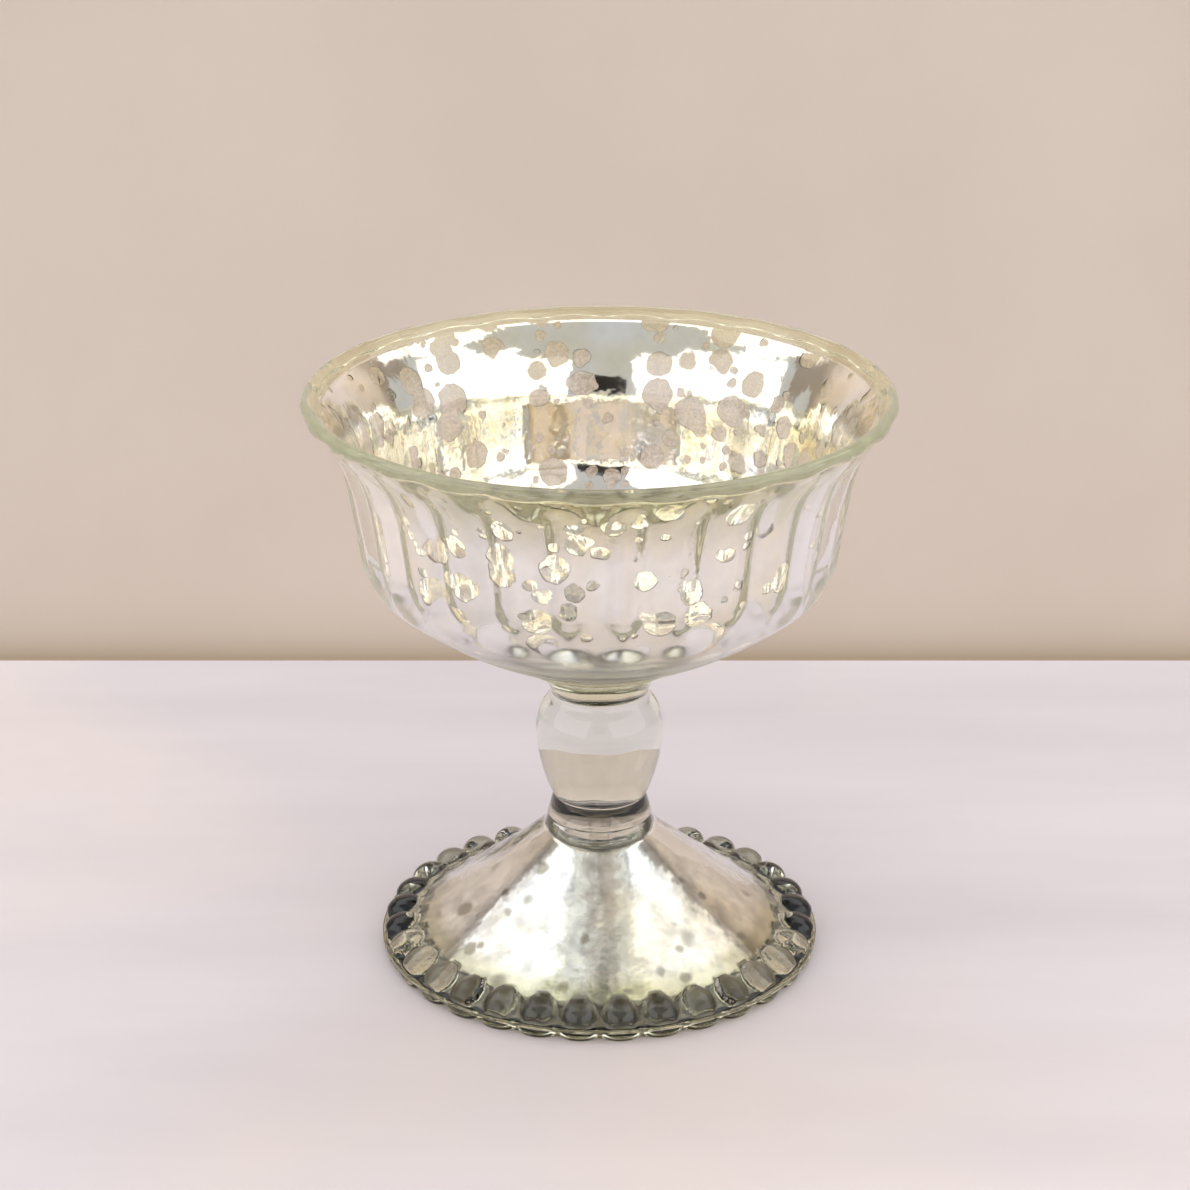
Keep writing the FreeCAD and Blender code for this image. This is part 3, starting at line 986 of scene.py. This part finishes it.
# ------------------------------------------------------------------ stem
@dataclass
class Stem:
    """Wafer, flare, knop and collar: four gathers fused in a stack, in millimetres."""

    wafer_radius: float = 14.5
    flare_neck: float = 8.3
    flare_top: float = 13.0
    flare_heading: float = 74.0
    knop_top: float = 8.3
    knop_belly_rise: float = 12.3
    neck: float = 7.9
    foot_seat: float = 8.7
    around: int = 192

    def uneven(self, size_mm: float) -> Relief:
        """Wobble for a hand-tooled gather; fused faces stay flat.

        Args:
            size_mm: About the most that it reaches.

        Returns:
            The relief.
        """
        def relief(theta: Array, r: Array, z: Array, tags: Sequence[str]) -> Array:
            """Wobble the sides only."""
            side = np.array([tag == "side" for tag in tags])[:, None]
            return np.where(side, hand_wobble(theta, z * 6, size_mm), 0.0)
        return relief

    def stacked(self, node: str, name: str, finish: Finish, slot: str,
                profile: Callable[[Section, float, float], Section], wobble: float) -> None:
        """Make one gather of the stack.

        Args:
            node: The CAD node whose place it takes.
            name: The piece's name.
            finish: Its glass.
            slot: Its material slot.
            profile: Adds the side from the bottom face to the top face.
            wobble: Unevenness of the side, in mm.
        """
        bottom, top = level(node, top=False), level(node)
        section = profile(Section().start(0.0, bottom, "seat"), bottom, top)
        section.line(0.0, top, "seat", 2.0)
        piece = turned_mesh(name, section, self.around, self.uneven(wobble), ["seat"])
        install(piece, finish, slot, node)

    def wafer_side(self, section: Section, bottom: float, top: float) -> Section:
        """A disc with a rounded, slightly rough edge.

        Args:
            section: The section to add to.
            bottom: Height of the bottom face in mm.
            top: Height of the top face in mm.

        Returns:
            The section.
        """
        half = (top - bottom) / 2
        section.line(self.flare_top, bottom, "seat", 2.0)
        section.line(self.wafer_radius - half, bottom, "shelf", 0.4)
        section.bend(self.wafer_radius, bottom + half, "side", 0.0, 0.2)
        return section.bend(self.wafer_radius - half, top, "side", 90.0, 0.2)

    def flare_side(self, section: Section, bottom: float, top: float) -> Section:
        """A trumpet, narrow below."""
        section.line(self.flare_neck, bottom, "seat", 2.0)
        return section.bend(self.flare_top, top, "side", self.flare_heading, 0.3)

    def knop_side(self, section: Section, bottom: float, top: float) -> Section:
        """An egg that stands on its narrow end.

        Args:
            section: The section to add to.
            bottom: Height of the bottom face in mm.
            top: Height of the top face in mm.

        Returns:
            The section.
        """
        belly_r, belly_z = half_width("stem_knop"), bottom + self.knop_belly_rise
        chord = math.degrees(math.atan2(belly_z - bottom, belly_r - self.neck))
        section.line(self.neck, bottom, "seat", 2.0)
        section.bend(belly_r, belly_z, "side", 2 * chord - 90.0, 0.3)
        section.bend(self.knop_top + 0.45, top - 1.3, "side", 90.0, 0.3)
        return section.bend(self.knop_top, top, "side", None, 0.3)

    def collar_side(self, section: Section, bottom: float, top: float) -> Section:
        """A thick ring that swells towards the foot.

        Args:
            section: The section to add to.
            bottom: Height of the bottom face in mm.
            top: Height of the top face in mm.

        Returns:
            The section.
        """
        section.line(self.foot_seat, bottom, "seat", 2.0)
        section.line(half_width("neck_collar"), bottom, "shelf", 0.2)
        return section.bend(self.neck, top, "side", 108.0, 0.2)

    def build(self) -> None:
        """Make and place the four gathers."""
        self.stacked("joining_wafer", "joining_wafer_disc", Finish.BOWL_GLASS, "bowl_glass",
                     self.wafer_side, 0.12)
        self.stacked("stem_flare", "stem_flare_trumpet", Finish.FLARE_GLASS, "olive_glass",
                     self.flare_side, 0.08)
        self.stacked("stem_knop", "stem_knop_egg", Finish.KNOP_GLASS, "stem_glass",
                     self.knop_side, 0.06)
        self.stacked("neck_collar", "neck_collar_ring", Finish.COLLAR_GLASS, "olive_glass",
                     self.collar_side, 0.06)


# ------------------------------------------------------------------ foot
@dataclass
class Foot(Silvered):
    """The hollow, beaded foot, its silver film and its lacquer, in millimetres."""

    seat: float = 8.7
    cone_top: Point = (9.6, 22.0)
    cone_base: Point = (31.8, 4.9)
    cone_heading: float = -43.2
    ledge_z: float = 2.0
    ledge_half: float = 0.22
    band_outer: float = 36.8
    ring_outer: float = 35.8
    ring_inner: float = 33.6
    wall: float = 2.6
    crown_round: float = 4.0
    beads: int = 32
    bead_half_width: float = 2.9
    bead_height: float = 2.3
    fringe_height: float = 1.15
    film_bottom_z: float = 1.0
    film_around: int = 320
    around: int = 32 * 19

    def base_heading(self) -> float:
        """Heading of the cone where the beads begin.

        Returns:
            The heading in degrees.
        """
        across = self.cone_base[0] - self.cone_top[0]
        up = self.cone_base[1] - self.cone_top[1]
        return 2 * math.degrees(math.atan2(up, across)) - self.cone_heading

    def hollow_run(self, section: Section, inset: float, bottom_z: float, tag: str) -> Section:
        """Add the hollow's run from its edge up to the axis.

        Args:
            section: The section to add to.
            inset: How far the run stands inside the glass, in mm.
            bottom_z: Height at which the run starts.
            tag: Tag of the new points.

        Returns:
            The section.
        """
        depth = self.wall + inset
        low, high = math.radians(self.base_heading()), math.radians(self.cone_heading)
        base = (self.cone_base[0] + depth * math.sin(low), self.cone_base[1] - depth * math.cos(low))
        corner = (self.cone_top[0] + depth * math.sin(high), self.cone_top[1] - depth * math.cos(high))
        edge_r = self.ring_inner - inset * 1.3
        share = bottom_z / base[1]
        section.start(edge_r + (base[0] - edge_r) * share, bottom_z, tag)
        section.line(*base, tag, 0.6).bend(*corner, tag, self.base_heading() + 180.0, 0.7)
        half_turn = -self.cone_heading / 2
        chord = 2 * (self.crown_round - inset) * math.sin(math.radians(half_turn))
        away = math.radians(180.0 - half_turn)
        crown = (corner[0] + chord * math.cos(away), corner[1] + chord * math.sin(away))
        section.bend(*crown, tag, 180.0 + self.cone_heading, 0.4)
        return section.line(0.0, crown[1], tag, 1.0)

    def across_bead(self, theta: Array, r: Array) -> Array:
        """Distance round the foot from the nearest bead's middle, in mm."""
        turn = theta * self.beads / math.tau + 0.5
        return np.abs(turn - np.round(turn)) * math.tau / self.beads * r

    def bead_lift(self, theta: Array, r: Array) -> Array:
        """Height of the teardrop beads over the band.

        Args:
            theta: Angle round the axis.
            r: Radius in mm.

        Returns:
            The height in mm.
        """
        tip, outer = self.cone_base[0] - 0.9, half_width("glass_foot") - 0.1
        t = np.clip((r - tip) / (outer - tip), 0.0, 1.0)
        drop = np.clip(np.sin(math.pi * t ** 1.15), 0.0, 1.0) ** 0.6
        half = self.bead_half_width * drop + 1e-6
        round_part = np.clip(1 - (self.across_bead(theta, r) / half) ** 2, 0.0, 1.0) ** 0.5
        return self.bead_height * round_part * drop

    def relief(self, theta: Array, r: Array, z: Array, tags: Sequence[str]) -> Array:
        """Beads above the ledge, their lower halves below it, and wobble on the cone.

        Args:
            theta: Angle round the axis.
            r: Radius in mm.
            z: Height in mm.
            tags: Tag of each row of points.

        Returns:
            The lift along the outward normal, in mm.
        """
        kind = np.array(tags)[:, None]
        lower = np.clip(1 - (self.across_bead(theta, r) / self.bead_half_width) ** 2, 0.0, 1.0) ** 0.5
        fringe = self.fringe_height * lower * smooth(0.0, 0.5, z)
        lift = np.where(kind == "band", self.bead_lift(theta, r), 0.0)
        lift = lift + np.where(kind == "fringe", fringe, 0.0)
        calm = (kind == "seat") | (kind == "ring")
        return lift + np.where(calm, 0.0, hand_wobble(theta, z * 2, 0.08) * smooth(0.2, 1.5, z))

    def glass(self) -> Object:
        """Turn the pressed glass.

        Returns:
            The piece, one closed surface.
        """
        top, outer = level("glass_foot"), half_width("glass_foot")
        high, low = self.ledge_z + self.ledge_half, self.ledge_z - self.ledge_half
        section = Section().start(0.0, top, "seat").line(self.seat, top, "seat", 2.0)
        section.line(*self.cone_top, "cone", 0.4)
        section.bend(*self.cone_base, "cone", self.cone_heading, 0.7)
        section.line(self.band_outer, high, "band", 0.22)
        section.line(outer, high, "ledge", 0.3).line(outer, low, "ledge", 0.2)
        section.line(self.band_outer - 0.2, low, "ledge", 0.3)
        section.line(self.ring_outer, 0.0, "fringe", 0.2)
        section.line(self.ring_inner, 0.0, "ring", 0.5)
        hollow = self.hollow_run(Section(), 0.0, 0.0, "hollow")
        section.points.extend(hollow.points[1:])
        section.tags.extend(hollow.tags[1:])
        section.points.reverse()
        section.tags = ["hollow"] + section.tags[:0:-1]
        return turned_mesh("glass_foot_beaded", section, self.around, self.relief, ["seat"])

    def film_piece(self, name: str, near: float, far: float) -> Object:
        """Turn a closed film between two insets of the hollow.

        Args:
            name: The piece's name.
            near: Inset of the side towards the glass, in mm.
            far: Inset of the bare side, in mm.

        Returns:
            The piece.
        """
        outer = self.hollow_run(Section(), near, self.film_bottom_z, "near")
        inner = self.hollow_run(Section(), far, self.film_bottom_z, "far")
        section = Section(inner.points[::-1] + outer.points, inner.tags[::-1] + outer.tags)
        return turned_mesh(name, section, self.film_around, self.film_relief)

    def follow(self, theta: Array, z: Array) -> Array:
        """How far the glass stands off its plain section where the film lies, in mm."""
        return hand_wobble(theta, z * 2, 0.08) * smooth(0.2, 1.5, z)

    def build(self) -> None:
        """Make and place the foot's three pieces."""
        install(self.glass(), Finish.FOOT_GLASS, "foot_glass", "glass_foot")
        self.coat("foot", Finish.FOOT_SILVER)


# ------------------------------------------------------------------ stage, lights and camera
@dataclass
class Studio:
    """A pale table in front of a warm wall, softboxes and the camera, in metres."""

    table_back: float = 0.123
    table_front: float = -0.80
    table_half_width: float = 0.75
    table_thickness: float = 0.03
    wall_y: float = 1.0
    camera_place: tuple[float, float, float] = (-0.00077, -0.4926, 0.2634)
    camera_pitch: float = 22.04
    lens_mm: float = 96.3

    def slab(self, name: str, low: Sequence[float], high: Sequence[float], finish: Finish,
             seen: bool = True) -> None:
        """A box of the stage with softened edges.

        Args:
            name: The object's name.
            low: Lowest corner.
            high: Highest corner.
            finish: Its finish.
            seen: Whether it shows directly, or only in reflections.
        """
        corners = [(x, y, z) for x in (low[0], high[0]) for y in (low[1], high[1]) for z in (low[2], high[2])]
        faces = [(0, 1, 3, 2), (4, 6, 7, 5), (0, 4, 5, 1), (2, 3, 7, 6), (0, 2, 6, 4), (1, 5, 7, 3)]
        mesh = bpy.data.meshes.new(name)
        mesh.from_pydata(corners, [], faces)
        mesh.materials.append(finish.material())
        piece = bpy.data.objects.new(name, mesh)
        bpy.context.scene.collection.objects.link(piece)
        piece.visible_camera = seen
        edge = piece.modifiers.new("eased_edge", "BEVEL")
        edge.width, edge.segments = 0.002, 3

    def softbox(self, name: str, place_at: Sequence[float], aim: Sequence[float],
                size: tuple[float, float], watts: float, mirrored: bool = True) -> None:
        """A rectangular softbox.

        Args:
            name: The light's name.
            place_at: Its middle.
            aim: What it points at.
            size: Width and height.
            watts: Its power.
            mirrored: Whether glass and silver show it.
        """
        light = bpy.data.lights.new(name, "AREA")
        light.shape = "RECTANGLE"
        light.size, light.size_y = size
        light.energy = watts
        lamp = bpy.data.objects.new(name, light)
        bpy.context.scene.collection.objects.link(lamp)
        lamp.location = place_at
        lamp.visible_glossy = lamp.visible_transmission = mirrored
        direction = Vector(aim) - Vector(place_at)
        lamp.rotation_euler = direction.to_track_quat("-Z", "Y").to_euler()

    def camera(self) -> None:
        """The camera, level from side to side and pitched down."""
        data = bpy.data.cameras.new("camera")
        data.lens, data.sensor_width = self.lens_mm, 36.0
        data.clip_start, data.clip_end = 0.01, 20.0
        camera = bpy.data.objects.new("camera", data)
        bpy.context.scene.collection.objects.link(camera)
        camera.location = self.camera_place
        camera.rotation_euler = (math.radians(90.0 - self.camera_pitch), 0.0, 0.0)
        bpy.context.scene.camera = camera

    def air(self) -> None:
        """The cool light of the room, and how far light is followed through glass."""
        world = bpy.data.worlds.new("room")
        bpy.context.scene.world = world
        world.use_nodes = True
        background = world.node_tree.nodes["Background"]
        background.inputs["Color"].default_value = linear("#eceff4")
        background.inputs["Strength"].default_value = 0.68
        scene = bpy.context.scene
        scene.view_settings.view_transform = "Standard"
        scene.cycles.max_bounces = 48
        scene.cycles.glossy_bounces = 32
        scene.cycles.transmission_bounces = 40
        scene.cycles.transparent_max_bounces = 64
        scene.cycles.caustics_refractive = True
        scene.cycles.caustics_reflective = True
        scene.cycles.sample_clamp_indirect = 8.0

    def build(self) -> None:
        """Set the stage, the lights and the camera."""
        wide, back, front = self.table_half_width, self.table_back, self.table_front
        self.slab("table_top", (-wide, front, -self.table_thickness), (wide, back, 0.0), Finish.TABLE)
        self.slab("room_wall", (-3.0, self.wall_y, -1.2), (3.0, self.wall_y + 0.05, 2.4), Finish.WALL)
        self.slab("room_floor", (-3.0, -3.0, -1.25), (3.0, self.wall_y, -1.2), Finish.WALL)
        self.slab("camera_flag", (-0.10, -0.60, 0.20), (0.10, -0.53, 0.33), Finish.FLAG, False)
        self.softbox("softbox_above", (0.0, 0.30, 1.1), (0.0, 0.15, 0.0), (2.6, 1.1), 10.5)
        self.softbox("softbox_front", (0.0, -0.75, 0.95), (0.0, -0.34, 0.0), (0.7, 0.35), 2.6, False)
        self.softbox("wall_wash", (0.0, 0.55, 0.75), (0.0, 1.0, -0.1), (2.4, 0.25), 4.6, False)
        self.softbox("softbox_left", (-1.10, -0.69, 0.60), (0.0, 0.0, 0.08), (2.0, 1.1), 8.0)
        self.softbox("softbox_right", (1.10, -0.69, 0.60), (0.0, 0.0, 0.08), (2.0, 1.1), 8.0)
        self.camera()
        self.air()


def main() -> None:
    """Build every sub-assembly in order."""
    logging.basicConfig(level=logging.INFO, format="%(name)s: %(message)s")
    Studio().build()
    Bowl().build()
    Stem().build()
    Foot().build()


if __name__ == "__main__":
    main()
